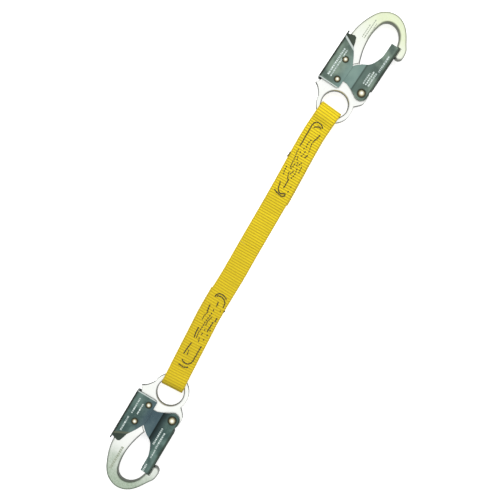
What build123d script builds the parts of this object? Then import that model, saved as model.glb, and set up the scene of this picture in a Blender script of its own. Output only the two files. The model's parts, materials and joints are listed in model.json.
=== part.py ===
"""A short web lanyard with a double-locking steel snap hook sewn into each end.

Frame: +X along the lanyard from the left hook to the right one, +Y to the side of the lock
levers, +Z up, in millimetres. The lanyard lies flat, and Z = 0 is what it rests on.
A hook is modelled about the middle of its eye: +X towards the bow, +Y towards the lock lever,
Z = 0 at the middle of the forging.
"""
from build123d import *
import math
import os

os.makedirs("parts", exist_ok=True)

# ---- driving dimensions -------------------------------------------------------------------
eye_spacing = 370.0        # between the middles of the two eyes
hook_turn = {"right": -3.9, "left": -1.1}     # how each hook lies, in degrees about Z

eye_radius = 15.0          # hole for the webbing
eye_outer_radius = 20.8
base_half = 5.0            # half thickness of the eye and of the recess under the gate
bow_half = 6.7             # half thickness of the spine and the bow
sheet = 1.5                # pressed steel of the gate and the lock lever
gap = 0.3                  # running gap between pieces on different joints

gate_pivot = (25.8, -18.0)
gate_tail_radius = 32.2    # the gate's inner flange, from its pivot
gate_low_z = base_half + gap
gate_high_z = bow_half + gap
gate_back_y = -26.9
nose_x = 90.6
rivet_radius = 2.5
gate_head_radius = 4.6
head_height = 2.2

lock_pivot = (47.3, 17.6)
lock_pin_point = (24.1, 13.2)
lock_z = bow_half + 0.4
lock_back_y = 32.8
lock_bottom_x = 15.8
lock_rivet_radius = 2.0
lock_head_radius = 3.3
lock_head_height = 1.8
lock_travel = 5.0          # degrees

pin_fit = 0.05             # radial clearance of a turning sheet on its rivet
spring_wire = 1.0
spring_slot_half = 2.7

web_width = 25.4
web_thick = 2.5
sewn_near = 33.0           # from the eye to the flex line at the throat of the loop
sewn_far = 124.0           # from the eye to the cut end of the folded-back tail
bend_line = 134.6          # from the eye to where the single strap begins to bend
web_y = {"right": 3.0, "left": 2.6, "middle": 4.0}
web_turn = {"right": 0.0, "left": 1.1}
thread = 0.4

hook_height = lock_z + sheet + 0.1 + head_height       # middle of the forging above the floor


def polar(centre, radius, degrees):
    """A point at that distance and direction from a centre."""
    a = math.radians(degrees)
    return (centre[0] + radius * math.cos(a), centre[1] + radius * math.sin(a))


# ---- the forged hook body -------------------------------------------------------------------
back_edge = ((17.0, 28.3), (75.8, 28.3))
bow_outer = [
    back_edge[1], (98.8, 23.2), (115.8, 12.4), (121.2, -4.0), (112.6, -20.8), (97.5, -31.4), (85.5, -35.3),
]
bow_inner = [
    (80.3, -27.2), (90.3, -23.0), (101.0, -19.4), (108.4, -12.6), (110.6, -4.0),
    (107.4, 3.4), (98.8, 7.5), (82.8, 8.8), (67.8, 6.7), (51.3, 1.2),
]
boss_radius = 9.0
boss_side = [(25.8, -27.0), (17.2, -26.0), (11.4, -21.2), (7.4, -16.4)]
shoulder_side = [(-8.0, 16.0), (1.2, 22.6), (6.4, 27.0), (9.2, 31.8)]

with BuildSketch() as hook_outline:
    with BuildLine():
        Line(*back_edge)
        Spline(*bow_outer, tangents=((1, 0), (-1, -0.05)))
        TangentArc(bow_outer[-1], bow_inner[0], tangent=(-1, -0.05))
        Spline(*bow_inner)
        Line(bow_inner[-1], polar(gate_pivot, boss_radius, 50))
        ThreePointArc(
            polar(gate_pivot, boss_radius, 50), polar(gate_pivot, boss_radius, -20), boss_side[0]
        )
        Spline(*boss_side, tangents=((-1, 0), (-0.5, 0.85)))
        Line(boss_side[-1], (0, 0))
        Line((0, 0), shoulder_side[0])
        Spline(*shoulder_side)
        Spline(shoulder_side[-1], (12.0, 29.6), back_edge[0], tangents=((0.7, -0.7), (1, 0)))
    make_face()
    Circle(eye_outer_radius)

recess_radius = gate_tail_radius + 1.8
edge_round = 2.6
eye_round = 2.4
tongue_centre = (80.0, -21.8)      # where the bow's tip thins to enter the gate's nose
tongue_size = (23.2, 11.6)
pad_radius = 7.0                   # raised pad round the gate's rivet
gate_pocket_radius = 6.2
lock_pocket_radius = 5.2
beyond = 1.0                       # how far a cut runs past the metal


def level_edges(part, height):
    """Edges that lie on the two faces at plus and minus a height."""
    return [e for e in part.edges() if abs(abs(e.center().Z) - height) < 0.01]


with BuildPart() as hook_body:
    add(hook_outline.sketch)
    extrude(amount=bow_half, both=True)
    fillet(level_edges(hook_body, bow_half), edge_round)
    # the eye, the recess that the gate's flanges sweep over and the tongue are thinner
    for side in (1, -1):
        with BuildSketch(Plane.XY.offset(side * base_half)):
            with Locations(gate_pivot):
                Circle(recess_radius)
            with Locations((-6, 0)):
                Rectangle(60, 100)
            with Locations(tongue_centre):
                Rectangle(*tongue_size)
        extrude(amount=side * base_half, mode=Mode.SUBTRACT)
    with BuildSketch():
        Circle(eye_radius)
    extrude(amount=bow_half, both=True, mode=Mode.SUBTRACT)
    eye_rim = [
        e for e in level_edges(hook_body, base_half)
        if e.geom_type == GeomType.CIRCLE and abs(e.radius - eye_radius) < 0.01
    ]
    fillet(eye_rim, eye_round)
    with BuildSketch():
        with Locations(gate_pivot):
            Circle(pad_radius)
    extrude(amount=bow_half, both=True)
    with BuildSketch():
        with Locations(gate_pivot):
            Circle(rivet_radius)
        with Locations(lock_pivot):
            Circle(lock_rivet_radius)
    extrude(amount=bow_half + beyond, both=True, mode=Mode.SUBTRACT)
    # slot that lets the lock pin swing outwards
    with BuildSketch():
        with Locations((lock_pin_point[0] - 0.1, lock_pin_point[1] + 1.1)):
            SlotCenterToCenter(2.4, 2 * (lock_rivet_radius + 0.4), rotation=100)
    extrude(amount=bow_half + beyond, both=True, mode=Mode.SUBTRACT)
    # pockets in the middle of the forging for the two springs
    with BuildSketch():
        with Locations(gate_pivot):
            Circle(gate_pocket_radius)
        with Locations((gate_pivot[0] + 15, gate_pivot[1] + 3)):
            Rectangle(30, 18.4)
        with Locations(lock_pivot):
            Circle(lock_pocket_radius)
        with Locations((lock_pivot[0] + 9, lock_pivot[1] + 5)):
            Rectangle(18, 20)
    extrude(amount=spring_slot_half, both=True, mode=Mode.SUBTRACT)

# ---- the gate: a pressed channel with a joggled flank ---------------------------------------
gate_outer_z = gate_high_z + sheet
flank_y = -26.0                    # where the flanks run into the rounded back
joggle_y = -5.0
joggle = ((0, 0), (2.0, 1.1), (4.2, 1.55), (7.0, gate_high_z - gate_low_z))    # outwards, and up
tail_y = 8.3


def gate_flank(side):
    """The closed outline of one flank in Y and Z, out to the bend at the back."""
    under = [(tail_y, gate_low_z)]
    under += [(joggle_y - out, gate_low_z + up) for out, up in joggle]
    under += [(flank_y, gate_high_z)]
    over = [(y, z + sheet) for y, z in reversed(under)]
    return [(y, side * z) for y, z in under + over + under[:1]]


tail_corner = (math.sqrt(gate_tail_radius**2 - (tail_y - gate_pivot[1])**2) + gate_pivot[0], tail_y)
throat_edge = [(77.8, -15.6), (66.0, -12.9), (57.2, -7.3), polar(gate_pivot, gate_tail_radius, 36.0)]
gate_round = 8.3
bend_outer = 2.4                   # radii of the folds in the pressed pieces
bend_inner = bend_outer - sheet
back_start_x = 35.2
back_depth = 12.0                  # how much of the channel's sketch lies on the flanks
through = 20.0

with BuildSketch() as gate_outline:
    with BuildLine():
        Line((nose_x, gate_back_y), (nose_x, throat_edge[0][1]))
        Line((nose_x, throat_edge[0][1]), throat_edge[0])
        Spline(*throat_edge, tangents=((-1, 0.02), (-0.75, 0.66)))
        ThreePointArc(throat_edge[-1], polar(gate_pivot, gate_tail_radius, 45.0), tail_corner)
        Line(tail_corner, (26.4, tail_y))
        Line((26.4, tail_y), (26.2, 1.5))
        Spline((26.2, 1.5), (23.9, -4.0), polar(gate_pivot, gate_round, 142))
        ThreePointArc(
            polar(gate_pivot, gate_round, 142),
            polar(gate_pivot, gate_round, 200),
            polar(gate_pivot, gate_round, 290),
        )
        Line(polar(gate_pivot, gate_round, 290), (34.6, -24.6))
        Line((34.6, -24.6), (35.8, gate_back_y))
        Line((35.8, gate_back_y), (nose_x, gate_back_y))
    make_face()

with BuildPart() as gate:
    with BuildSketch(Plane.YZ.offset(10)):
        for side in (1, -1):
            with BuildLine():
                Polyline(*gate_flank(side))
            make_face()
    extrude(amount=90)
    with BuildSketch(Plane.YZ.offset(back_start_x)):
        with Locations((gate_back_y + back_depth / 2, 0)):
            RectangleRounded(back_depth, 2 * gate_outer_z, bend_outer)
        with Locations((gate_back_y + sheet + back_depth / 2, 0)):
            RectangleRounded(back_depth, 2 * gate_high_z, bend_inner, mode=Mode.SUBTRACT)
        with Locations((gate_back_y + back_depth * 0.75, 0)):
            Rectangle(back_depth, 2 * gate_outer_z + beyond, mode=Mode.SUBTRACT)
    extrude(amount=60)
    add(gate_outline.sketch)
    extrude(amount=through, both=True, mode=Mode.INTERSECT)
    with BuildSketch():
        with Locations(gate_pivot):
            Circle(rivet_radius + pin_fit)
    extrude(amount=through, both=True, mode=Mode.SUBTRACT)
    # the slot in the nose that the hook's tongue enters
    with Locations((nose_x, gate_back_y, 0)):
        Box(24, 8, 2 * (base_half + 0.4), mode=Mode.SUBTRACT)

# ---- the lock lever: a pressed channel that rocks on the spine ------------------------------
lock_outer_z = lock_z + sheet
lock_depth = 40.0                  # how deep the channel's sketch is in Y
flare_root = (64.0, 17.6)
flare_back = (71.5, lock_back_y)

with BuildSketch() as lock_outline:
    with BuildLine():
        Polyline(
            (lock_bottom_x, lock_back_y), (lock_bottom_x, 9.5),
        )
        ThreePointArc((lock_bottom_x, 9.5), (16.7, 7.4), (18.8, 6.5))
        Polyline(
            (18.8, 6.5), (45.2, 6.5), (55.8, 12.3), flare_root, flare_back,
            (lock_bottom_x, lock_back_y),
        )
    make_face()

bend_run = Vector(flare_back[0] - flare_root[0], flare_back[1] - flare_root[1], 0)
flare_angle = 12.0
across = bend_run.normalized().cross(Vector(0, 0, 1))
flare_up = Vector(0, 0, 1) * math.cos(math.radians(flare_angle))
flare_normal = flare_up - across * math.sin(math.radians(flare_angle))
flare_plane = Plane(
    origin=(flare_root[0], flare_root[1], lock_z), x_dir=bend_run.normalized(), z_dir=flare_normal
)
lip_width = bend_run.length

with BuildPart() as lock_lever:
    with BuildSketch(Plane.YZ.offset(lock_bottom_x)):
        with Locations((lock_back_y - lock_depth / 2, 0)):
            RectangleRounded(lock_depth, 2 * lock_outer_z, bend_outer)
        with Locations((lock_back_y - sheet - lock_depth / 2, 0)):
            RectangleRounded(lock_depth, 2 * lock_z, bend_inner, mode=Mode.SUBTRACT)
        with Locations((-8, 0)):
            Rectangle(24, 2 * lock_outer_z + beyond, mode=Mode.SUBTRACT)
    extrude(amount=70)
    add(lock_outline.sketch)
    extrude(amount=through, both=True, mode=Mode.INTERSECT)
    # the back carries on as a tab, and each flank as a flared lip
    with Locations((73.0, lock_back_y - sheet / 2, 0)):
        Box(8, sheet, 2 * lock_z - 1.0)
    with BuildSketch(flare_plane):
        with BuildLine():
            Polyline(
                (-0.1, 0.3), (3.6, -4.0), (7.6, -7.8), (10.4, -7.8),
                (lip_width - 0.9, -2.6), (lip_width - 0.9, 0.3), (-0.1, 0.3),
            )
        make_face()
    extrude(amount=sheet)
    mirror(about=Plane.XY)
    with BuildSketch():
        with Locations(lock_pivot):
            Circle(lock_rivet_radius + pin_fit)
        with Locations(lock_pin_point):
            Circle(lock_rivet_radius)
    extrude(amount=through, both=True, mode=Mode.SUBTRACT)


def placed_at(made, centre, turn=0):
    """A copy of a finished piece moved to a point of the hook's plane and turned about Z."""
    with BuildPart() as placed:
        with Locations(Location((centre[0], centre[1], 0), (0, 0, turn))):
            add(made.part)
    return placed


# ---- rivets and pin -------------------------------------------------------------------------
def rivet(centre, radius, head_radius, height, under_head):
    """A rivet with a low dome at both ends, seated on faces at plus and minus under_head."""
    rim = under_head + 0.4
    top = under_head + height
    bulge = (head_radius * 0.6, rim + (top - rim) * 0.72)
    with BuildPart() as made:
        with BuildSketch(Plane.XZ):
            with BuildLine():
                Line((0, 0), (0, top))
                ThreePointArc((0, top), bulge, (head_radius, rim))
                Polyline(
                    (head_radius, rim), (head_radius, under_head),
                    (radius, under_head), (radius, 0), (0, 0),
                )
            make_face()
        revolve(axis=Axis.Z)
        mirror(about=Plane.XY)
    return placed_at(made, centre)


gate_rivet = rivet(gate_pivot, rivet_radius, gate_head_radius, head_height + 0.1, gate_outer_z + 0.1)
lock_rivet = rivet(
    lock_pivot, lock_rivet_radius, lock_head_radius, lock_head_height, lock_outer_z + 0.1
)
lock_pin = rivet(lock_pin_point, lock_rivet_radius, lock_head_radius, lock_head_height, lock_outer_z)


# ---- springs --------------------------------------------------------------------------------
def torsion_spring(centre, coil_radius, turn, near_leg, far_leg):
    """Two and a half turns round a rivet, with a straight leg running off each end of the coil."""
    pitch = spring_wire + 0.15
    height = 2.5 * pitch
    with BuildPart() as made:
        with BuildLine() as coil:
            Helix(pitch=pitch, height=height, radius=coil_radius, center=(0, 0, -height / 2))
            Line((coil.line @ 0) - (coil.line % 0) * near_leg, coil.line @ 0)
            Line(coil.line @ 1, (coil.line @ 1) + (coil.line % 1) * far_leg)
        with BuildSketch(Plane(origin=coil.line @ 0, z_dir=coil.line % 0)):
            Circle(spring_wire / 2)
        sweep(path=coil.line, is_frenet=True)
    return placed_at(made, centre, turn)


gate_spring = torsion_spring(gate_pivot, 4.0, 82, 6.0, 20.0)
lock_spring = torsion_spring(lock_pivot, 3.1, 135, 14.6, 4.0)

# ---- webbing --------------------------------------------------------------------------------
half_web = web_width / 2
middle_end = eye_spacing / 2 - bend_line          # where the single strap bends, from the middle
sewn_length = bend_line - sewn_near
tail_x = bend_line - sewn_far                      # cut end of the tail, from the bend
step_x = 3.6
floor_lift = thread + 0.15                         # the sewn tail sits on its stitches

with BuildPart() as webbing_center:
    with Locations((0, web_y["middle"], web_thick / 2)):
        Box(2 * (middle_end - web_thick / 2 - gap), web_width, web_thick)

slab_rise = (hook_height - web_thick - floor_lift) / (sewn_length - tail_x)
slab_angle = math.degrees(math.atan(slab_rise))


def slab_z(x):
    """Height of the underside of the sewn tail at a distance from the bend line."""
    return floor_lift + (x - tail_x) * slab_rise


with BuildPart() as stitched_end:
    with BuildSketch(Plane.XZ):
        with BuildLine():
            Polyline(
                (0, 0), (step_x, 0), (tail_x, slab_z(tail_x) + web_thick), (tail_x, slab_z(tail_x)),
                (sewn_length, slab_z(sewn_length)),
            )
            Polyline(
                (sewn_length, slab_z(sewn_length)), (sewn_length, slab_z(sewn_length) + 2 * web_thick),
                (tail_x, slab_z(tail_x) + 2 * web_thick), (step_x, web_thick), (0, web_thick),
            )
            Line((0, web_thick), (0, 0))
        make_face()
        with Locations((0, web_thick / 2)):
            Circle(web_thick / 2)
        with Locations((sewn_length, hook_height)):
            Circle(web_thick)
    extrude(amount=half_web, both=True)

pattern_length = 88.0
pattern_width = 13.0
line_width = 0.9
pattern_x = (tail_x + sewn_length) / 2 - 0.5

with BuildPart() as stitching:
    for upper in (True, False):
        z = slab_z(pattern_x) + (2 * web_thick if upper else 0)
        tilt = math.radians(slab_angle)
        out = Vector(-math.sin(tilt), 0, math.cos(tilt)) * (1 if upper else -1)
        face = Plane(origin=(pattern_x, 0, z), x_dir=(math.cos(tilt), 0, math.sin(tilt)), z_dir=out)
        with BuildSketch(face):
            SlotOverall(pattern_length, pattern_width)
            SlotOverall(
                pattern_length - 2 * line_width, pattern_width - 2 * line_width, mode=Mode.SUBTRACT
            )
            with Locations((-30, 0), (-15, 0), (0, 0), (15, 0), (30, 0)):
                Rectangle(15.5, line_width, rotation=28)
        extrude(amount=thread)

loop_bar = 12.0            # middle of the crown's curve, from the eye's middle
inner_rise = 5.5
shoulder_x = 21.5          # how far the two layers run level before they close
crown_outer = inner_rise + web_thick
throat_x = -(sewn_near - web_thick - 1.6)

with BuildPart() as loop:
    with BuildSketch(Plane.XZ):
        with BuildLine():
            Line((throat_x, -web_thick), (throat_x, web_thick))
            Line((throat_x, web_thick), (-shoulder_x - 0.5, crown_outer))
            Line((-shoulder_x - 0.5, crown_outer), (-loop_bar, crown_outer))
            ThreePointArc((-loop_bar, crown_outer), (crown_outer - loop_bar, 0), (-loop_bar, -crown_outer))
            Line((-loop_bar, -crown_outer), (-shoulder_x - 0.5, -crown_outer))
            Line((-shoulder_x - 0.5, -crown_outer), (throat_x, -web_thick))
        make_face()
        with BuildLine():
            Line((-28.0, 0), (-shoulder_x, inner_rise))
            Line((-shoulder_x, inner_rise), (-loop_bar, inner_rise))
            ThreePointArc((-loop_bar, inner_rise), (inner_rise - loop_bar, 0), (-loop_bar, -inner_rise))
            Line((-loop_bar, -inner_rise), (-shoulder_x, -inner_rise))
            Line((-shoulder_x, -inner_rise), (-28.0, 0))
        make_face(mode=Mode.SUBTRACT)
    extrude(amount=half_web, both=True)

# ---- where everything lies --------------------------------------------------------------------
half_span = eye_spacing / 2
loop_turn = {
    side: math.degrees(math.atan2(web_y[side], sewn_near)) for side in ("right", "left")
}
turned_over = Location((0, 0, 0), (0, 180, 0))
hook_place = {
    "right": Location((half_span, 0, hook_height), (0, 0, hook_turn["right"])),
    "left": Location((-half_span, 0, hook_height), (0, 0, hook_turn["left"])) * turned_over,
}
loop_place = {
    "right": Location((half_span, 0, hook_height), (0, 0, -loop_turn["right"])),
    "left": Location((-half_span, 0, hook_height), (0, 0, loop_turn["left"])) * turned_over,
}
left_drift = sewn_length * math.sin(math.radians(web_turn["left"]))
sewn_place = {
    "right": Location((half_span - bend_line, web_y["right"], 0), (0, 0, web_turn["right"])),
    "left": Location(
        (-half_span + bend_line, web_y["left"] + left_drift, 0), (0, 0, 180 + web_turn["left"])
    ),
}

# the origin is the bottom centre of the whole lanyard's box
reach = [hook_place[side] * piece.part for side in hook_place for piece in (hook_body, lock_lever)]
low_x = min(shape.bounding_box().min.X for shape in reach)
high_x = max(shape.bounding_box().max.X for shape in reach)
low_y = min(shape.bounding_box().min.Y for shape in reach)
high_y = max(shape.bounding_box().max.Y for shape in reach)
to_origin = Location((-(low_x + high_x) / 2, -(low_y + high_y) / 2, 0))


def write(piece, name, place):
    """Put a finished piece where it lies and write it as one node."""
    with BuildPart() as node:
        with Locations(to_origin * place):
            add(piece.part)
    node.part.label = name
    export_step(node.part, f"parts/{name}.step")


hook_pieces = {
    "hook_body": hook_body,
    "gate": gate,
    "gate_rivet": gate_rivet,
    "gate_spring": gate_spring,
    "lock_lever": lock_lever,
    "lock_rivet": lock_rivet,
    "lock_pin": lock_pin,
    "lock_spring": lock_spring,
}

for side in ("right", "left"):
    for name, piece in hook_pieces.items():
        write(piece, f"{side}_{name}", hook_place[side])
    write(loop, f"{side}_loop", loop_place[side])
    write(stitched_end, f"{side}_stitched_end", sewn_place[side])
    write(stitching, f"{side}_stitching", sewn_place[side])
write(webbing_center, "webbing_center", Location((0, 0, 0)))
print("origin shift", to_origin.position, "hook height", hook_height)
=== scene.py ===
# %% [markdown]
# # A web lanyard with two snap hooks
#
# The CAD model gives every rigid piece its shape and place: the forged hooks, the pressed gates
# and lock levers, the rivets and the springs. What is left for Blender is the woven strap, its
# sewing, the small marks on the steel and the finish of every surface. This first cell loads
# the model as a fixed frame before anything is added.

# %% Load the frame
import json
import math

import bpy
import numpy as np
from mathutils import Matrix, Vector


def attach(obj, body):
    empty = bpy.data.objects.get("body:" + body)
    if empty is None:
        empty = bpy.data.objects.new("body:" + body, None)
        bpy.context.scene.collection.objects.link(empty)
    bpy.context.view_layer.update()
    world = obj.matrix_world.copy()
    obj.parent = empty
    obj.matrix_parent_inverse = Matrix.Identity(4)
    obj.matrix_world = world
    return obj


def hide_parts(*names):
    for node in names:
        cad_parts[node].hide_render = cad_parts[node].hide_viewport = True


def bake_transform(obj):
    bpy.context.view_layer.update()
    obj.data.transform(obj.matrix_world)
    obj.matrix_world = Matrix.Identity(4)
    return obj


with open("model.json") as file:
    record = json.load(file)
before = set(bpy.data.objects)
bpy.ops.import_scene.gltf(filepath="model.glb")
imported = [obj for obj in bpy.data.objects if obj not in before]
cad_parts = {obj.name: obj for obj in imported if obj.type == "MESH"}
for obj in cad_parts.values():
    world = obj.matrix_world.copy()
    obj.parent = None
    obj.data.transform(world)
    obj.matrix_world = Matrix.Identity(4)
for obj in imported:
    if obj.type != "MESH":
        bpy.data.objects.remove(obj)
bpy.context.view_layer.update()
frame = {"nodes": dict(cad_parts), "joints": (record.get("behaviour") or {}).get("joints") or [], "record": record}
nodes = frame["nodes"]
joints = {j["name"]: j for j in frame["joints"]}
SIDES = ("right", "left")
MM = 0.001

# %% [markdown]
# ## Where things are
#
# Nothing is placed by eye: the joints of the record say where each eye and rivet is. Each hook
# gets a small coordinate system of its own, in millimetres, with its origin in the middle of the
# eye, X towards the bow and Y towards the lock lever, so that one set of sizes serves both. The
# left hook is the same part turned over, so its own Z points down.

# %% The two hook frames
gate_pivot = (25.8, -18.0)            # the gate's rivet, from the middle of the eye


def joint_point(name):
    """The joint's point at rest, in metres in the row frame."""
    return Vector(joints[name]["pos_m"])


def hook_frame(side):
    """The matrix from a hook's own millimetres to the row frame."""
    eye = joint_point(f"{side}_hook_swivel")
    to_gate = joint_point(f"{side}_gate_swing") - eye
    own_angle = math.atan2(gate_pivot[1], gate_pivot[0])
    seen_angle = math.atan2(to_gate.y, to_gate.x)
    turned_over = Matrix.Identity(4)
    if side == "left":
        own_angle = math.pi - own_angle
        turned_over = Matrix.Rotation(math.pi, 4, "Y")
    turn = Matrix.Rotation(seen_angle - own_angle, 4, "Z")
    return Matrix.Translation(eye) @ turn @ turned_over @ Matrix.Scale(MM, 4)


hook_frames = {side: hook_frame(side) for side in SIDES}
eyes = {side: joint_point(f"{side}_hook_swivel") for side in SIDES}
middle = (eyes["right"] + eyes["left"]) / 2
half_span = (eyes["right"] - eyes["left"]).length / 2 / MM
hook_height = eyes["right"].z / MM
print("eyes", round(2 * half_span, 1), "mm apart,", round(hook_height, 1), "mm up")

# %% [markdown]
# ## Camera, light and floor
#
# The lanyard is seen from straight above, lying on a slant, through a long lens that keeps its
# thickness from showing. Bright steel is little more than a mirror, so its look is made by what
# surrounds it: the world is bright overhead and has a dark band at the horizon. Level steel then
# shows nearly white, and every rounded edge gets a thin grey outline. One large soft lamp lights
# the cloth from the right hook's end, and the floor glows a little, as a light table does, which
# keeps shadows faint. Lamp and floor are hidden from reflections: the steel mirrors only the
# world, whose lower half is a middle grey.

# %% Camera
slant = math.radians(29.73)           # from the view's upright to the lanyard's +X
view_width = 0.560
camera_height = 1.15
aim_offset = Vector((-3.2, 1.53, 0)) * MM

camera_data = bpy.data.cameras.new("camera")
camera_data.lens = camera_data.sensor_width * camera_height / view_width
camera = bpy.data.objects.new("camera", camera_data)
camera.location = middle + aim_offset + Vector((0, 0, camera_height))
camera.rotation_euler = (0, 0, slant - math.pi / 2)
bpy.context.scene.collection.objects.link(camera)
bpy.context.scene.camera = camera
bpy.context.scene.view_settings.view_transform = "Standard"
print("lens", round(camera_data.lens, 1), "mm")

# %% A new piece from its points and faces


def new_piece(name, points, faces, smooth=False):
    """A mesh piece, put in the scene."""
    mesh = bpy.data.meshes.new(name)
    mesh.from_pydata(points, [], faces)
    mesh.update()
    if smooth:
        mesh.shade_smooth()
    piece = bpy.data.objects.new(name, mesh)
    bpy.context.scene.collection.objects.link(piece)
    return piece


# %% Floor and lamp
floor_half = 30.0
floor_corners = [(-floor_half, -floor_half, 0), (floor_half, -floor_half, 0)]
floor_corners += [(floor_half, floor_half, 0), (-floor_half, floor_half, 0)]
floor = new_piece("floor", floor_corners, [(0, 1, 2, 3)])
floor.visible_glossy = False

lamp_place = (1.5, 0.6, 1.9)
lamp_data = bpy.data.lights.new("soft_lamp", "AREA")
lamp_data.size = 2.2
lamp_data.energy = 40
lamp = bpy.data.objects.new("soft_lamp", lamp_data)
lamp.location = lamp_place
lamp.rotation_euler = (-lamp.location).to_track_quat("-Z", "Y").to_euler()
lamp.visible_glossy = False
bpy.context.scene.collection.objects.link(lamp)
print("floor", 2 * floor_half, "m wide, lamp of", lamp_data.energy, "W at", lamp_place)

# %% [markdown]
# ## Writing shader maths as expressions
#
# A procedural finish is mostly arithmetic: a wave times a noise, one minus a mask. Drawn as
# nodes it becomes a maze, so a small class wraps an output socket and overloads Python's
# operators, and each expression adds the Math nodes it needs. Every other node comes from one
# method, which makes the node's settings first and fills its sockets after them.

# %% A socket that does sums


class Wire:
    """One output socket of a node, ready for arithmetic."""

    def __init__(self, bench, socket):
        self.bench, self.socket = bench, socket

    def other(self, name):
        """Another output of the same node."""
        return Wire(self.bench, self.socket.node.outputs[name])

    def maths(self, operation, first, second=None):
        sockets = {0: first} if second is None else {0: first, 1: second}
        return self.bench.node("ShaderNodeMath", {"operation": operation}, sockets)

    def __add__(self, other):
        return self.maths("ADD", self, other)

    def __sub__(self, other):
        return self.maths("SUBTRACT", self, other)

    def __rsub__(self, other):
        return self.maths("SUBTRACT", other, self)

    def __mul__(self, other):
        return self.maths("MULTIPLY", self, other)

    def __pow__(self, power):
        return self.maths("POWER", self, power)

    def sine(self):
        return self.maths("SINE", self)

    def size(self):
        return self.maths("ABSOLUTE", self)

    def above(self, level, width):
        """0 below a level, 1 past it, with a ramp of that width between."""
        settings = {"interpolation_type": "SMOOTHSTEP"}
        sockets = {"Value": self, "From Min": level, "From Max": level + width}
        return self.bench.node("ShaderNodeMapRange", settings, sockets)

    __radd__ = __add__
    __rmul__ = __mul__


print("wire ready")

# %% The bench that a finish is made on


class Bench:
    """The node tree of a material or world."""

    def __init__(self, owner):
        owner.use_nodes = True
        self.owner, self.tree = owner, owner.node_tree
        self.tree.nodes.clear()

    def node(self, kind, settings=None, sockets=None):
        """Add a node: settings first, then the values or links of its sockets."""
        made = self.tree.nodes.new(kind)
        for name, value in (settings or {}).items():
            if name == "stops":
                self.set_stops(made.color_ramp, value)
            else:
                setattr(made, name, value)
        for key, value in (sockets or {}).items():
            if isinstance(value, Wire):
                self.tree.links.new(value.socket, made.inputs[key])
            else:
                made.inputs[key].default_value = value
        return Wire(self, next(s for s in made.outputs if s.enabled)) if made.outputs else None

    @staticmethod
    def set_stops(ramp, stops):
        while len(ramp.elements) < len(stops):
            ramp.elements.new(1.0)
        for element, (place, grey) in zip(ramp.elements, stops):
            element.position = place
            element.color = (grey, grey, grey, 1)

    def place(self, stretch=(1, 1, 1)):
        """Where a point of the piece is, in metres, stretched along its axes."""
        where = self.node("ShaderNodeTexCoord").other("Object")
        return self.node("ShaderNodeMapping", {}, {"Vector": where, "Scale": stretch})

    def split(self, vector):
        """The X of a vector, whose other outputs are its Y and Z."""
        return self.node("ShaderNodeSeparateXYZ", {}, {"Vector": vector})

    def noise(self, scale, detail=3.0, stretch=(1, 1, 1)):
        sockets = {"Vector": self.place(stretch), "Scale": scale, "Detail": detail}
        return self.node("ShaderNodeTexNoise", {}, sockets)

    def mix(self, factor, low, high):
        """The colour low where factor is 0, and high where it is 1."""
        low, high = (c if isinstance(c, Wire) else (*c, 1) for c in (low, high))
        return self.node("ShaderNodeMix", {"data_type": "RGBA"}, {"Factor": factor, 6: low, 7: high})

    def bump(self, height, depth, normal=None):
        """A normal bent by a height of 0 to 1 that stands for depth metres."""
        sockets = {"Height": height, "Strength": 1.0, "Distance": depth}
        if normal:
            sockets["Normal"] = normal
        return self.node("ShaderNodeBump", {}, sockets)

    def finish(self, **sockets):
        """The surface shader and the output. Names are those of its sockets, with _ for a space."""
        named = {name.replace("_", " "): value for name, value in sockets.items()}
        shader = self.node("ShaderNodeBsdfPrincipled", {}, named)
        self.node("ShaderNodeOutputMaterial", {}, {"Surface": shader})
        return self.owner


def bench_for(name):
    return Bench(bpy.data.materials.new(name))


print("bench ready")

# %% [markdown]
# ## The surround
#
# The world's generated coordinate is the direction looked in, so its Z is 1 straight up and 0 at
# the horizon. A ramp on it makes the bright ceiling and the dark band of a studio, and all that
# is under the horizon takes the ramp's first grey. The floor is plain pale paper with a trace of
# grain.

# %% World and floor finish
sky = Bench(bpy.data.worlds.new("studio"))
direction = sky.node("ShaderNodeTexCoord").other("Generated")
height = sky.split(direction).other("Z")
sky_stops = [(0.0, 0.46), (0.05, 0.12), (0.20, 0.12), (0.42, 0.52), (0.70, 0.84), (0.90, 1.0)]
sky_strength = 1.12
glow = sky.node("ShaderNodeValToRGB", {"stops": sky_stops}, {"Fac": height})
background = sky.node("ShaderNodeBackground", {}, {"Color": glow, "Strength": sky_strength})
sky.node("ShaderNodeOutputWorld", {}, {"Surface": background})
bpy.context.scene.world = sky.owner

paper = bench_for("floor_paper")
grain = paper.noise(900.0)
paper.finish(
    Base_Color=paper.mix(grain, (0.90, 0.90, 0.90), (0.92, 0.92, 0.92)),
    Roughness=0.9,
    Emission_Color=(1, 1, 1, 1),
    Emission_Strength=0.55,
)
floor.data.materials.append(paper.owner)
print("sky of strength", sky_strength, "with steps", sky_stops)
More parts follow.
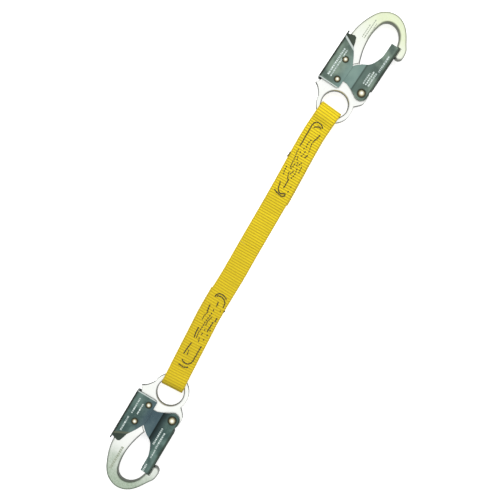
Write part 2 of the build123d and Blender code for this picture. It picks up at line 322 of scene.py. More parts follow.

# %% [markdown]
# ## The steel finishes
#
# The hooks are drop forged, tumbled and zinc plated: pale silver with a green-yellow cast that
# thickens towards the top of the bow, and a fine tumbled grain. Their sides and their sharp edges
# are painted darker, a painted shade for the thin grey outline of rounded steel. The gates and
# levers are pressed from sheet and finished darker, a blue-green grey with rolling lines along the
# sheet. Painted shade darkens their folds, their backs, the bent-up lip of the lever and a ring round
# each rivet, and painted highlights lighten their cut edges, the lever's bottom edge and the bend
# of the lever's lip. The two hooks have tones of their own, the left one darker.
#
# A Bevel node gives the normal of a slightly rounded edge, and where that differs from the true
# normal there is an edge, so the difference serves as an edge mask. The other masks are ramps on
# a point's place in the hook's own millimetres.

# %% Tones of the two hooks, and where painted shade and highlight lie on them
bow_cast = {"right": (0.77, 0.85, 0.57), "left": (0.34, 0.43, 0.32)}
sheet_tones = {                       # dark, light, and the bluer stain over the seam
    "right": ((0.085, 0.125, 0.105), (0.225, 0.300, 0.240), (0.220, 0.340, 0.310)),
    "left": ((0.046, 0.088, 0.080), (0.135, 0.215, 0.190), (0.050, 0.085, 0.120)),
}
# painted highlight along the bend of the lever's lip: pale on the right hook, dull olive on the left
rim_tone = {"right": (0.64, 0.71, 0.68), "left": (0.12, 0.13, 0.085)}
fold_shade = {"right": (0.50, (0.052, 0.072, 0.052)), "left": (0.85, (0.016, 0.024, 0.020))}
# painted shade: on the lever's bent-up lip and along the sheets' backs, and in rings round the rivets
lip_and_back_shade = (0.034, 0.042, 0.030)
rivet_ring_shade = (0.030, 0.036, 0.028)
# painted highlight on the lever's lit bottom edge
lit_edge_tone = (0.66, 0.73, 0.70)
rivet_spots = [(gate_pivot, 4.6), ((47.3, 17.6), 3.3), ((24.1, 13.2), 3.3)]     # and head radius
lever_bend = (64.0, 17.6)             # a point of the line where the lever's lip is bent up
bend_lean = math.radians(26.2)        # that line, from square across the hook
lever_foot = 16.6                     # the lever's bottom edge, painted as a highlight, along the hook
lever_back = 29.4                     # the outer edges and the gate's fold, across it
gate_back = -24.8
gate_fold = -5.8
print("tones for", *sheet_tones, "and", len(rivet_spots), "rivet places")

# %% Masks for edges, sides and places


# its mask carries the painted dark outlines and painted edge highlights below
def bevel_edges(bench, width):
    """A soft edge normal, and a mask that is 1 on edges within that width in metres."""
    soft = bench.node("ShaderNodeBevel", {"samples": 6}, {"Radius": width})
    true = bench.node("ShaderNodeNewGeometry").other("Normal")
    level = bench.node("ShaderNodeVectorMath", {"operation": "DOT_PRODUCT"}, {0: soft, 1: true})
    return soft, (1 - level.other("Value")).above(0.02, 0.25)


def hook_place(bench, side):
    """A point of a hook in its own millimetres, as two wires, X and Y."""
    spin = hook_frames[side].inverted().to_euler()
    eye = hook_frames[side].inverted().translation
    where = bench.node("ShaderNodeTexCoord").other("Object")
    sockets = {"Vector": where, "Location": eye, "Rotation": spin, "Scale": (1 / MM,) * 3}
    x = bench.split(bench.node("ShaderNodeMapping", {}, sockets))
    return x, x.other("Y")


def levelness(bench):
    """1 on a level face of the piece as it lies at rest, and 0 on an upright one."""
    facing = bench.node("ShaderNodeTexCoord").other("Normal")
    return bench.split(facing).other("Z").size()


print("masks ready")

# %% Forged steel


def forged_steel(side):
    bench = bench_for(f"forged_steel_{side}")
    soft, edge = bevel_edges(bench, 0.0010)
    x, y = hook_place(bench, side)
    cloud = bench.noise(45.0, 4.0).above(0.38, 0.3)
    tumbled = bench.noise(1500.0, 4.0)
    scuffs = bench.noise(260.0, 5.0, (1.0, 9.0, 1.0)).above(0.62, 0.1)
    grainy = bench.noise(620.0, 3.0).above(0.40, 0.22)
    cast = (x + cloud * 14).above(66, 56) * (0.82 + grainy * 0.18)
    plated = bench.mix(cloud, (0.87, 0.89, 0.85), (0.93, 0.94, 0.91))
    tinted = bench.mix(cast, plated, bow_cast[side])
    # painted shade: the upright sides, less near the eye, are painted dark as the thin grey outline of the rounded
    # forging
    near_eye = 1 - x.above(12, 6)
    side_wall = 1 - (levelness(bench) - near_eye * 0.22).above(0.12, 0.5)
    sides_shaded = bench.mix(side_wall * 0.85, tinted, (0.12, 0.14, 0.105))
    colour = bench.mix(scuffs * 0.3, sides_shaded, (0.62, 0.66, 0.58))
    # painted shade: the edges are painted dark as thin grey outlines
    return bench.finish(
        Base_Color=bench.mix(edge * 0.85, colour, (0.14, 0.16, 0.12)),
        Metallic=1.0,
        Roughness=0.30 + cloud * 0.06 + scuffs * 0.10 - edge * 0.08,
        Normal=bench.bump(tumbled + scuffs * 0.4, 0.00002, soft),
    )


forged = {side: forged_steel(side) for side in SIDES}
print("made", *(made.name for made in forged.values()))

# %% Pressed steel


def pressed_steel(side):
    bench = bench_for(f"pressed_steel_{side}")
    soft, edge = bevel_edges(bench, 0.00045)
    x, y = hook_place(bench, side)
    cloud = bench.noise(60.0, 4.0).above(0.36, 0.28)
    rolled = bench.noise(420.0, 4.0, (0.12, 1.0, 1.0))
    specks = bench.noise(1300.0, 3.0).above(0.60, 0.12)
    dark, light, blue = sheet_tones[side]
    sheet = bench.mix(cloud, dark, light)
    seam = y.above(-16, 10) * (1 - y.above(6, 14))
    stained = bench.mix(seam * (0.55 + rolled * 0.3), sheet, blue)
    rubbed = bench.mix(specks * 0.30 + rolled * 0.12, stained, (0.30, 0.37, 0.33))
    # painted shade in the gate's fold
    depth, tone = fold_shade[side]
    fold = (1 - y.above(gate_fold, 0.7)) * y.above(-17, 10.5)
    shadowed = bench.mix(fold * depth, rubbed, tone)
    up_hook, inwards = x - lever_bend[0], lever_bend[1] - y
    past_bend = up_hook * math.cos(bend_lean) + inwards * math.sin(bend_lean)
    on_lever = y.above(12, 1)
    lip = past_bend.above(-0.5, 0.4) * on_lever
    rim = past_bend.above(-2.7, 0.5) * (1 - lip) * on_lever
    back = y.above(lever_back, 2.0) + (1 - y.above(gate_back, 1.6))
    # painted shade on the lever's bent-up lip and along the backs, then a painted shadow ring round each rivet
    lip_back_ring_shaded = bench.mix(lip * 0.85 + back * (1 - lip) * 0.72, shadowed, lip_and_back_shade)
    for (at_x, at_y), head in rivet_spots:
        from_rivet = ((x - at_x) ** 2 + (y - at_y) ** 2) ** 0.5
        lip_back_ring_shaded = bench.mix((1 - from_rivet.above(head + 0.4, 0.9)) * 0.75, lip_back_ring_shaded, rivet_ring_shade)
    # painted highlight along the bend of the lever's lip, pale on the right hook and dull olive on the left
    rimmed = bench.mix(rim * 0.8, lip_back_ring_shaded, rim_tone[side])
    # painted highlight on the lever's lit bottom edge
    foot = (1 - x.above(lever_foot, 0.5)) * y.above(5, 1)
    bright = bench.mix(foot * 0.85, rimmed, lit_edge_tone)
    # painted highlight on the cut edges, stronger round the gate's rivet end
    heel = edge * (1 - x.above(27.0, 3)) * (1 - y.above(-12, 3))
    return bench.finish(
        Base_Color=bench.mix(edge * 0.5 + heel * 0.5, bright, (0.52, 0.58, 0.55)),
        Metallic=1.0,
        Roughness=0.28 + rolled * 0.14 + specks * 0.08,
        Normal=bench.bump(rolled * 0.6 + specks * 0.3, 0.00002, soft),
    )


pressed = {side: pressed_steel(side) for side in SIDES}
print("made", *(made.name for made in pressed.values()))

# %% Rivets and springs


def rivet_steel():
    bench = bench_for("rivet_gold_zinc")
    soft, edge = bevel_edges(bench, 0.0003)
    cloud = bench.noise(700.0, 3.0).above(0.4, 0.25)
    pits = bench.noise(2600.0, 2.0).above(0.62, 0.1)
    level = levelness(bench)
    # painted shade and highlight: the sloping rim of each head is painted dark, its level top light, and the very
    # top a painted white highlight
    gold = bench.mix(cloud, (0.20, 0.17, 0.09), (0.30, 0.26, 0.15))
    dome = bench.mix(level.above(0.85, 0.09), gold, (0.66, 0.63, 0.44))
    crown = bench.mix(level.above(0.965, 0.025), dome, (0.97, 0.97, 0.90))
    return bench.finish(
        Base_Color=bench.mix(edge * 0.2, crown, (0.50, 0.46, 0.32)),
        Metallic=1.0,
        Roughness=0.22 + pits * 0.25,
        Normal=bench.bump(1 - pits, 0.00003, soft),
    )


def spring_steel():
    bench = bench_for("spring_wire_drawn")
    drawn = bench.noise(900.0, 3.0, (1.0, 1.0, 0.2))
    colour = bench.mix(drawn, (0.34, 0.35, 0.36), (0.55, 0.56, 0.57))
    return bench.finish(
        Base_Color=colour,
        Metallic=1.0,
        Roughness=0.26 + drawn * 0.12,
        Normal=bench.bump(drawn, 0.00001),
    )


shared = {"rivets": rivet_steel(), "spring_wire": spring_steel()}
print("made", *(made.name for made in shared.values()))

# %% The steels on the CAD model's pieces
slot_of = {part["node"]: part["material_slot"] for part in frame["record"]["subparts"]}
steel_nodes = [name for name in nodes if slot_of[name] not in ("webbing", "thread")]
for name in steel_nodes:
    side = name.split("_")[0]
    steels = {**shared, "forged_steel": forged[side], "pressed_steel": pressed[side]}
    for place in nodes[name].material_slots:
        place.material = steels[slot_of[name]]
print("steel on", len(steel_nodes), "nodes")

# %% [markdown]
# ## The route of the strap
#
# One strap runs the whole length. At each end it climbs over its own folded-back tail, passes
# round the ring of the hook's eye and comes back underneath, where it is sewn to itself. The
# route is drawn once, in the upright plane of the right half: a distance from the middle and a
# height. The left half is its mirror image. Seen from above the strap isn't quite straight, so a
# short list of sideways steps bends it. Rounding the corners twice over by cutting them
# (Chaikin's rule) gives the soft bends of a stiff webbing.

# %% Sizes of the webbing
web_half = 13.0
web_thick = 2.5
rib_pitch = 3.0
steps_in_rib = 8
eye_to_throat = 28.5                  # where the two layers close behind the ring
throat_lift = 1.2                     # how far the throat is pulled up to the top of the ring
eye_to_tail = 124.0                   # the tail's cut end
ring_middle = 12.0                    # middle of the curve round the ring, from the eye
ring_bend = 6.75                      # from that middle to the middle of the webbing
tail_lift = 0.55                      # the sewn tail sits on its stitches
eye_to_cut = 84.0                     # where each half is cut in two
print("webbing", 2 * web_half, "mm wide,", web_thick, "mm thick, a rib each", rib_pitch, "mm")

# %% The route in the upright plane


def rounded(points, rounds):
    """The points with their corners cut a few times over, and the ends kept."""
    points = np.array(points, float)
    for _ in range(rounds):
        first, second = points[:-1], points[1:]
        cut = np.stack([0.75 * first + 0.25 * second, 0.25 * first + 0.75 * second], 1)
        points = np.vstack([points[:1], cut.reshape(-1, 2)[1:-1], points[-1:]])
    return points


def web_route():
    """Points (distance from the middle, height of the webbing's middle), in mm."""
    half = web_thick / 2
    throat = half_span - eye_to_throat
    tail = half_span - eye_to_tail
    ring = half_span - ring_middle
    rising = [(0, half), (tail - 26, half), (tail - 16, half + 0.3), (tail - 6, tail_lift + 2.2 * half)]
    sewn = [(tail + 4, tail_lift + 3 * half + 0.3), (throat - 8, hook_height + half + throat_lift - 0.5)]
    turns = np.radians(np.arange(90, -91, -22.5))
    round_ring = [(ring + ring_bend * math.cos(t), hook_height + ring_bend * math.sin(t)) for t in turns]
    opening = [(throat, half + throat_lift), (throat + 4, half + throat_lift + 1.2)]
    opening += [(ring - 8.6, ring_bend - 0.8), (ring - 4.2, ring_bend)]
    above = [(at, hook_height + up) for at, up in opening]
    below = [(at, hook_height - up) for at, up in reversed(opening[2:])]
    closed = hook_height - half + throat_lift
    below += [(throat + 4, closed - 2.4), (throat, closed)]
    under = [(throat - 8, closed - 0.5), (tail, tail_lift + half)]
    return rounded(rising + sewn + above + round_ring + below + under, 3)


route = web_route()
run_at = np.concatenate([[0], np.cumsum(np.hypot(*np.diff(route, axis=0).T))])
web_length = float(run_at[-1])
crown_run = float(run_at[np.argmax(route[:, 0])])
print("strap", round(2 * web_length, 1), "mm long, crown at", round(crown_run, 1))

# %% How the strap wanders sideways, at distances from the middle
sideways = {
    "right": [(0, 4.0), (30, 3.7), (72, 3.5), (100, 3.8), (125, 4.1), (145, 3.8), (160, 2.7), (185, 0.2)],
    "left": [(0, 4.0), (40, 4.1), (66, 4.9), (90, 5.1), (115, 4.1), (140, 3.1), (160, 2.2), (185, 1.0)],
}
tail_shift = {"right": -1.0, "left": 1.0}     # how far the tail slews from the layer above
reach = 0.6                                   # over which the strap's own slope is taken


def sideways_at(side, distance):
    """Sideways place and slope at a distance from the middle, on a smooth curve."""
    at, step = np.array(sideways[side]).T
    slope = np.gradient(step, at)
    i = np.clip(np.searchsorted(at, distance) - 1, 0, len(at) - 2)
    gap = at[i + 1] - at[i]
    u = (distance - at[i]) / gap
    keep, turn = (1 + 2 * u) * (1 - u) ** 2, u * (1 - u) ** 2
    come, leave = u * u * (3 - 2 * u), u * u * (u - 1)
    place = keep * step[i] + turn * gap * slope[i] + come * step[i + 1] + leave * gap * slope[i + 1]
    lean = (6 * u * u - 6 * u) * (step[i] - step[i + 1]) / gap
    lean += (1 - 4 * u + 3 * u * u) * slope[i] + (3 * u * u - 2 * u) * slope[i + 1]
    return place, lean


def on_route(run):
    """Distance from the middle and height, at that run along the strap."""
    return np.interp(run, run_at, route[:, 0]), np.interp(run, run_at, route[:, 1])


def on_strap(side, run, across, out):
    """A point of the strap in metres: how far along, how far across, and how far off its middle."""
    run, across, out = np.broadcast_arrays(*(np.asarray(v, float) for v in (run, across, out)))
    distance, height = on_route(run)
    level, rise = (ahead - behind for ahead, behind in zip(on_route(run + reach), on_route(run - reach)))
    size = np.hypot(level, rise)
    level, rise = level / size, rise / size
    place, lean = sideways_at(side, distance)
    back = np.clip((run - crown_run) / (web_length - crown_run), 0, 1)
    across = across + tail_shift[side] * back
    flat = np.hypot(1, lean)
    x = distance - rise * out / flat - across * lean / flat
    y = place - rise * out * lean / flat + across / flat
    z = height + level * out
    facing = 1 if side == "right" else -1
    points = np.stack([middle.x / MM + facing * x, middle.y / MM + y, z], -1)
    return points * MM


def run_above(eye_distance):
    """How far along the upper layer a distance from the eye is."""
    upper = run_at <= crown_run
    return np.interp(half_span - eye_distance, route[upper, 0], run_at[upper])


def run_below(eye_distance):
    """The same on the folded-back layer underneath."""
    lower = run_at >= crown_run
    return np.interp(eye_distance - half_span, -route[lower, 0], run_at[lower])


throat_runs = [round(float(layer(eye_to_throat)), 1) for layer in (run_above, run_below)]
print("throat passed at", throat_runs, "mm along")

# %% [markdown]
# ## Weaving the webbing
#
# Heavy webbing of this kind is a warp-faced weave: bundles of lengthwise yarn ride over stout
# cross threads, so the face is a row of rounded ribs with sharp valleys, and the back has the
# same ribs half a step on. A bump map would leave a straight edge, and the serrated edge is
# what one sees first, so the ribs are real geometry: a cross-section swept along the route that
# swells and narrows once in every rib. The finer yarns, under a millimetre wide, are left to the
# material. Each vertex stores its place in the weave for it to read.

# %% The cross-section and its ribs
edge_rows = np.array([-1, -0.99, -0.965, -0.92, -0.85])
level_rows = np.linspace(-0.75, 0.75, 13)
rows = np.concatenate([edge_rows, level_rows, -edge_rows[::-1]])
thickness = np.sqrt(1 - np.clip((np.abs(rows) - 0.9) / 0.1, 0, 1) ** 2)
ring_across = np.concatenate([rows, rows[-2:0:-1]])
ring_out = np.concatenate([thickness, -thickness[-2:0:-1]])
rib_rise = 0.40
edge_swell = 0.30
rib_bow = 0.05                        # how far a rib's middle lies past its two ends, in ribs
weave_dice = np.random.default_rng(5)
rib_sizes = np.clip(1 + 0.08 * weave_dice.standard_normal(240), 0.8, 1.15)
print(len(ring_across), "points round the section")

# %% Ribs, and a length of webbing


def rib(run, across, back):
    """Height of the rib there, 0 in a valley and 1 on a crest. The back's ribs are half a step on."""
    turned = run / rib_pitch + 0.5 * back + rib_bow * across**2
    return np.abs(np.sin(np.pi * turned)) ** 0.8 * rib_sizes[np.floor(turned).astype(int) % len(rib_sizes)]


def woven(name, side, first_run, last_run):
    """A length of the strap as one closed mesh."""
    count = int(round((last_run - first_run) / rib_pitch * steps_in_rib)) + 1
    run, across = np.meshgrid(np.linspace(first_run, last_run, count), ring_across, indexing="ij")
    out = np.broadcast_to(ring_out, run.shape)
    ridge = rib(run, across, out < 0)
    selvedge = np.abs(across) > 0.9
    wide = web_half - edge_swell * (1 - rib(run, 0.0, 0.0))
    thick = web_thick / 2 - rib_rise * (1 - ridge)
    points = on_strap(side, run, across * wide, out * thick)
    around = len(ring_across)
    body = np.arange((count - 1) * around)
    ahead = body // around * around + (body + 1) % around
    faces = np.stack([body, ahead, ahead + around, body + around], 1)
    if side == "right":
        faces = faces[:, ::-1]
    ends = [list(range(around)), list(range((count - 1) * around, count * around))[::-1]]
    if side == "left":
        ends = [end[::-1] for end in ends]
    piece = new_piece(name, points.reshape(-1, 3).tolist(), faces.tolist() + ends, smooth=True)
    weave = np.stack([run, across * web_half, np.where(selvedge, 0.6 * ridge, ridge)], -1)
    stored = piece.data.attributes.new("weave", "FLOAT_VECTOR", "POINT")
    stored.data.foreach_set("vector", weave.reshape(-1).astype(np.float32))
    return piece


print("ribs", rib_rise, "mm high, edges swell", edge_swell, "mm")

# %% [markdown]
# ## Where the strap is divided
#
# The real strap is one piece. Here it is cut into four lengths: two inner ones from the middle to
# the cut, and two outer ones from the cut round the ring to the tail's end. The cuts lie in a
# valley in the middle of the sewn ends, where nothing bends, so they never open.

# %% Four lengths of webbing
cut_run = rib_pitch * round(float(run_above(eye_to_cut)) / rib_pitch)
straps, strap_ends = {}, {}
for side in SIDES:
    straps[side] = woven(f"{side}_strap", side, 0.0, cut_run)
    strap_ends[side] = woven(f"{side}_strap_end", side, cut_run, web_length)
    print(side, "strap", round(cut_run, 1), "mm and end", round(web_length - cut_run, 1), "mm")

# %% [markdown]
# ## The colour of the weave
#
# Dyed nylon is a strong warm yellow where the yarns catch the light, and deeper and browner down
# in the valleys, where little light gets and dirt stays. The stored place gives the finer weave
# too: yarns side by side across the strap, each with its twist, and a painted highlight along the
# twist on the crests. Handling dulls the crests and the edges in soft patches. The yellow is
# brighter towards the right hook, and the turn round the left eye is painted darker, as painted shade.

# %% Webbing finish
yarn_width = 0.85                     # mm
ply_length = 1.1
left_crown = -0.184                   # metres along the row frame's X


def webbing_finish():
    bench = bench_for("webbing_yellow_nylon")
    stored = bench.node("ShaderNodeAttribute", {"attribute_name": "weave"}).other("Vector")
    along = bench.split(stored)
    across, ridge = along.other("Y"), along.other("Z")
    uneven = bench.noise(700.0, 2.0)
    yarn = (across * (math.pi / yarn_width) + uneven * 1.2).sine().size()
    slanting = along * (1 / ply_length) + across * (1 / yarn_width)
    twist = (slanting * math.pi + uneven * 2.0).sine().size()
    worn = bench.noise(55.0, 4.0).above(0.46, 0.25)
    fuzz = bench.noise(2400.0, 3.0)
    edge = across.size().above(11.4, 1.2)
    to_right = bench.split(bench.place())
    crest = bench.mix(to_right.above(-0.12, 0.30), (0.64, 0.47, 0.007), (0.86, 0.665, 0.007))
    # painted shade on the turn round the left eye
    turned_round = 1 - to_right.above(left_crown, 0.018)
    left_turn_shaded = bench.mix(turned_round * 0.6, crest, (0.34, 0.28, 0.014))
    shaded = bench.mix(ridge.above(0.25, 0.70), (0.44, 0.30, 0.006), left_turn_shaded)
    lined = bench.mix((1 - yarn) * 0.35, shaded, (0.50, 0.35, 0.008))
    # painted highlight along the twist of the yarns on the crests
    twist_highlighted = bench.mix(twist * ridge * 0.24, lined, (0.88, 0.70, 0.030))
    dulled = bench.mix(worn * 0.22 + edge * 0.22, twist_highlighted, (0.50, 0.38, 0.020))
    return bench.finish(
        Base_Color=bench.mix(fuzz * 0.08, dulled, (0.84, 0.72, 0.08)),
        Specular_IOR_Level=0.2,
        Roughness=0.62 + worn * 0.14 - twist * 0.10,
        Sheen_Weight=0.10,
        Sheen_Roughness=0.4,
        Normal=bench.bump(yarn * 0.6 + twist * 0.25 + fuzz * 0.25, 0.00022),
    )


webbing = webbing_finish()
for piece in (*straps.values(), *strap_ends.values()):
    piece.data.materials.append(webbing)
print("webbing finish made")

# %% [markdown]
# ## Sewing
#
# Each end is sewn with heavy black thread: a long round-ended box, finished with a second bow of
# stitches at each end, and zigzags up and down inside it. A lock stitch shows as a short lump of
# thread that rises from a hole, rides over one rib and dives again, and many sink out of sight
# between the ribs. So each row is drawn as a line on the strap and chopped into stitches, and
# every stitch is a small bent tube. The rows of the two ends differ, as hand-fed sewing does. The
# last row of each end is a loose thread end at the strap's edge.

# %% Rows of the sewing: points (distance from the eye, across) in mm, and the share that shows


def zigzag(start, end, side_at, swing, legs):
    """A zigzag about a line along the strap."""
    at = np.linspace(start, end, legs + 1)
    return [(a, side_at + (swing if i % 2 else -swing)) for i, a in enumerate(at)]


sewing_rows = {
    "right": [
        ([(35.6, 7.0), (30.6, 7.4), (27.0, 5.0), (26.2, 1.0), (27.0, -2.4), (29.8, -5.0)], 1.0),
        ([(34.6, 4.6), (31.4, 1.6), (30.2, -1.6), (31.2, -4.0)], 1.0),
        ([(35.6, 7.0), (42, 6.5), (47, 7.0), (53, 6.4), (59, 6.8)], 1.0),
        ([(37, -6.7), (42, -5.8), (47, -4.0)], 1.0),
        ([(47, -4.2), (52, -3.6), (57, -5.0), (64, -5.8)], 0.8),
        ([(64, -6.0), (69, -5.2), (67.6, -3.8)], 1.0),
        ([(62, 6.4), (67, 6.4), (75, 4.8), (86, 4.6)], 0.8),
        ([(82, 9.0), (91, 8.8), (96, 7.0)], 0.72),
        ([(78, -6.4), (85, -6.9), (100, -6.7), (110, -7.1), (114.4, -5.7)], 0.62),
        (zigzag(44, 92, -0.6, 1.9, 5), 0.62),
        (zigzag(58, 98, 2.4, 1.5, 4), 0.55),
        (zigzag(74, 96, -3.2, 1.4, 3), 0.66),
        ([(97, -0.3), (109, -0.1)], 0.95),
        ([(103.6, 6.4), (110.2, 5.6), (114.8, 3.4), (116.0, -0.4), (114.0, -5.0)], 1.0),
        ([(114.6, 8.0), (116.4, 5.6), (117.4, 2.0), (118.4, -2.6), (116.8, -5.8), (113.8, -5.6)], 1.0),
        ([(69.4, 12.7), (72.6, 13.2), (76.0, 13.5)], 1.0),
    ],
    "left": [
        ([(32.0, 5.4), (32.0, 3.6), (31.0, 0.2), (31.4, -3.2), (33.6, -6.2)], 1.0),
        ([(38.4, 4.4), (36.6, 2.0), (35.8, -1.4), (36.6, -4.6), (38.6, -6.8), (44, -7.9), (61, -8.2)], 1.0),
        ([(64, -6.0), (72, -8.6), (82, -9.2)], 0.7),
        ([(44.6, 5.7), (52, 4.6), (59.4, 3.5)], 1.0),
        ([(45, 1.4), (51, 2.2)], 0.7),
        ([(66, 3.6), (71.4, 4.5), (78.2, 4.3)], 1.0),
        ([(66, 1.0), (71, 1.6), (82, 0.2), (90, 0.6)], 0.75),
        ([(84, 4.4), (92, 5.0), (98, 2.9)], 0.62),
        ([(98, 4.0), (101.4, 4.7), (106.4, 4.9)], 1.0),
        ([(78.0, -6.4), (85, -7.2), (91, -7.8)], 1.0),
        ([(91, -9.2), (97, -9.5)], 0.95),
        (zigzag(60, 104, -2.6, 1.7, 5), 0.68),
        ([(84, 0.8), (92, -0.6), (103, -1.9)], 0.72),
        ([(107.6, -2.6), (113.2, -1.5)], 1.0),
        ([(116.6, 5.4), (120.4, 4.6), (122.6, 1.8), (122.7, -3.0), (120.3, -8.4)], 1.0),
        ([(117.6, 3.2), (120.2, 0.6), (119.8, -3.9), (117.4, -8.0), (113.4, -9.3), (110.0, -9.5)], 1.0),
        ([(106.4, -8.9), (104.6, -8.9)], 1.0),
        ([(106.0, -12.6), (108.4, -13.5)], 1.0),
    ],
}
print({side: len(rows_of) for side, rows_of in sewing_rows.items()}, "rows")

# %% One stitch, and all of them
thread_radius = {True: 0.62, False: 0.52}     # long proud stitches, and short sunk ones
stitch_rise = {
    True: np.array([-0.20, 0.15, 0.22, 0.15, -0.20]),
    False: np.array([-0.60, 0.05, 0.20, 0.05, -0.60]),
}
stitch_sides = 6
stitch_wander = 0.16                  # how far a needle hole strays from its row


def stitch_run(row, dice):
    """Where each stitch of a row starts and ends."""
    at = np.array(rounded(row, 2) if len(row) > 2 else row, float)
    along = np.concatenate([[0], np.cumsum(np.hypot(*np.diff(at, axis=0).T))])
    count = max(1, int(round(along[-1] / rib_pitch)))
    marks = np.linspace(0, along[-1], count + 1)
    spots = np.stack([np.interp(marks, along, at[:, 0]), np.interp(marks, along, at[:, 1])], 1)
    return spots + stitch_wander * dice.standard_normal(spots.shape)


def stitch_tube(side, start, end, below, proud):
    """The rings of vertices of one stitch, in metres."""
    overlap = 0.02 if proud else -0.07
    share = np.linspace(-overlap, 1 + overlap, 5)[:, None]
    line = start * (1 - share) + end * share
    heading = (end - start) / np.hypot(*(end - start))
    turns = np.arange(stitch_sides) * 2 * np.pi / stitch_sides
    taper = np.array([0.6, 1.0, 1.0, 1.0, 0.6])[:, None]
    aside = thread_radius[proud] * taper * np.cos(turns)
    lift = stitch_rise[proud][:, None] + thread_radius[proud] * taper * np.sin(turns)
    eye_distance = line[:, :1] - aside * heading[1]
    across = line[:, 1:] + aside * heading[0]
    run = run_below(eye_distance) if below else run_above(eye_distance)
    out = web_thick / 2 + lift
    return on_strap(side, run, across, -out if below else out)


def sewn(name, side, below):
    """All the stitches on one face of a sewn end, as one mesh."""
    dice = np.random.default_rng({"right": 11, "left": 23}[side] + 40 * below)
    points, faces = [], []
    for row, shown in sewing_rows[side]:
        spots = stitch_run(row, dice)
        for start, end in zip(spots[:-1], spots[1:]):
            if dice.random() > shown:
                continue
            first = sum(len(p) for p in points)
            tube = stitch_tube(side, start, end, below, shown > 0.9)
            last = first + (len(tube) - 1) * stitch_sides
            for ring in range(first, last, stitch_sides):
                for j in range(stitch_sides):
                    a, b = ring + j, ring + (j + 1) % stitch_sides
                    faces.append((a, b, b + stitch_sides, a + stitch_sides))
            faces.append(tuple(range(first, first + stitch_sides))[::-1])
            faces.append(tuple(range(last, last + stitch_sides)))
            points.append(tube.reshape(-1, 3))
    print(name, len(points), "stitches")
    return new_piece(name, np.vstack(points).tolist(), faces, smooth=True)


print("stitches of", stitch_sides, "sides")

# %% Thread, and the four faces of sewing


def thread_finish():
    bench = bench_for("thread_black_bonded")
    ply = bench.noise(2200.0, 2.0, (1.0, 0.3, 1.0))
    worn = bench.noise(320.0, 2.0).above(0.5, 0.2)
    black = bench.mix(ply, (0.012, 0.009, 0.006), (0.060, 0.045, 0.026))
    return bench.finish(
        Base_Color=bench.mix(worn * 0.4, black, (0.11, 0.085, 0.035)),
        Roughness=0.5 + worn * 0.2,
        Sheen_Weight=0.1,
        Normal=bench.bump(ply, 0.00012),
    )


thread = thread_finish()
stitches = []
for side in SIDES:
    for below in (False, True):
        piece = sewn(f"{side}_stitches_{'under' if below else 'top'}", side, below)
        piece.data.materials.append(thread)
        stitches.append((piece, side))

# %% [markdown]
# ## Marks on the steel
#
# The real pieces carry rows of small print. Here they are rows of plain dashes that say nothing.
# They stand for pad-printed ink, so each dash is a thin plate that lies just proud of its sheet,
# and on the forged bow they are darker, as a shallow stamp that has caught grime.

# %% Rows of dashes: start along the hook, place across, length and height, in its own mm
ink_height = 0.04
gate_face = 8.5                       # height of the face over the hook's middle plane
lever_face = 8.6
bow_face = 6.7
dash_shortest = 0.9
dash_gap = 0.45
plate_faces = [(3, 2, 1, 0), (4, 5, 6, 7), (0, 1, 5, 4), (1, 2, 6, 5), (2, 3, 7, 6), (3, 0, 4, 7)]
mark_rows = {
    "right": {
        "gate": [(55.8, -21.0, 21, 1.9), (36, -19.8, 17, 1.8), (36, -16.6, 16, 1.6), (36, -13.6, 14, 1.5)],
        "lever": [(23, 24.8, 33, 2.0), (23, 21.4, 22, 1.6), (49, 21.6, 7, 1.4)],
        "bow": [(79, 13.6, 24, 1.2), (80, 10.6, 20, 1.0), (79, 16.2, 16, 1.0)],
    },
    "left": {
        "gate": [(42, -18.0, 20, 1.9), (63, -18.4, 9, 1.4), (81.5, -18.2, 8, 2.2), (38.5, -13.3, 21, 1.9)],
        "lever": [(46, 26.2, 18, 1.8), (22, 25.2, 18, 1.6), (26, 19.2, 13, 1.5)],
        "bow": [(79, 14.2, 28, 2.8)],
    },
}


def dashes(name, side, rows_of, face):
    """Rows of dashes on a level face of a hook, as one mesh."""
    dice = np.random.default_rng(len(name) + 7 * len(rows_of))
    points, faces = [], []
    facing = 1 if side == "right" else -1
    low, top = face * facing, (face + ink_height) * facing
    for start, place, length, tall in rows_of:
        near, far = place - tall / 2, place + tall / 2
        at = start
        while at < start + length:
            end = at + dash_shortest + 1.6 * dice.random()
            outline = [(at, near), (end, near), (end, far), (at, far)]
            first = len(points)
            points += [(x, y, z) for z in (low, top) for x, y in outline]
            faces += [tuple(first + i for i in quad[::facing]) for quad in plate_faces]
            at = end + dash_gap + 0.35 * dice.random()
    return new_piece(name, [tuple(hook_frames[side] @ Vector(p)) for p in points], faces)


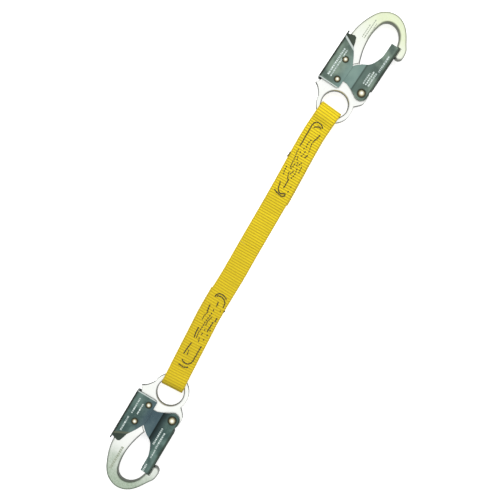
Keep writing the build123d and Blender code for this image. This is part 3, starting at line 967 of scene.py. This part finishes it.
print("rows of dashes:", {side: sum(map(len, rows_of.values())) for side, rows_of in mark_rows.items()})

# %% Ink, and the marks of both hooks


def ink_finish(name, thin, full):
    bench = bench_for(name)
    rubbed = bench.noise(1100.0, 3.0).above(0.42, 0.2)
    return bench.finish(
        Base_Color=bench.mix(rubbed, thin, full),
        Metallic=0.5 - rubbed * 0.3,
        Roughness=0.55 - rubbed * 0.1,
        Normal=bench.bump(rubbed, 0.00001),
    )


pale_ink = ink_finish("ink_pale", (0.34, 0.42, 0.40), (0.74, 0.82, 0.79))
stamped = ink_finish("stamp_grime", (0.42, 0.47, 0.37), (0.24, 0.28, 0.20))
mark_home = {
    "gate": ("gate_group", gate_face, pale_ink, "pressed_steel"),
    "lever": ("lock_group", lever_face, pale_ink, "pressed_steel"),
    "bow": ("hook", bow_face, stamped, "forged_steel"),
}
for side in SIDES:
    for part, (body, face, finish, slot) in mark_home.items():
        piece = dashes(f"{side}_{part}_marks", side, mark_rows[side][part], face)
        piece.data.materials.append(finish)
        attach(piece, f"{side}_{body}")
        print(piece.name, len(piece.data.polygons) // 6, "dashes")

# %% [markdown]
# ## What moves with what
#
# The steel rides on its own bodies already. For each length of webbing the ends of a short zone
# round its joint are found on the strap; then the length and its sewing have their places baked
# into their meshes, and the CAD model's webbing pieces that they replace are hidden.

# %% Bend zones, replaced solids and flat sizes
strap_bend_zone = (143.0, 127.5)      # from the eye: all single strap, and all sewn end
throat_zone = (38.0, 25.0)            # all sewn end, and all loop


def strap_spot(side, eye_distance):
    return tuple(on_strap(side, run_above(eye_distance), 0.0, 0.0))


for side in SIDES:
    start, end = (strap_spot(side, at) for at in strap_bend_zone)
    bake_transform(straps[side])
    start, end = (strap_spot(side, at) for at in throat_zone)
    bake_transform(strap_ends[side])
    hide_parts(f"{side}_stitched_end", f"{side}_loop")
    for piece, piece_side in stitches:
        if piece_side == side:
            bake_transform(piece)
            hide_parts(f"{side}_stitching")
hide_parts("webbing_center")
print("webbing cut", round(2 * web_length), "mm by", round(2 * web_half, 1), "mm in all")
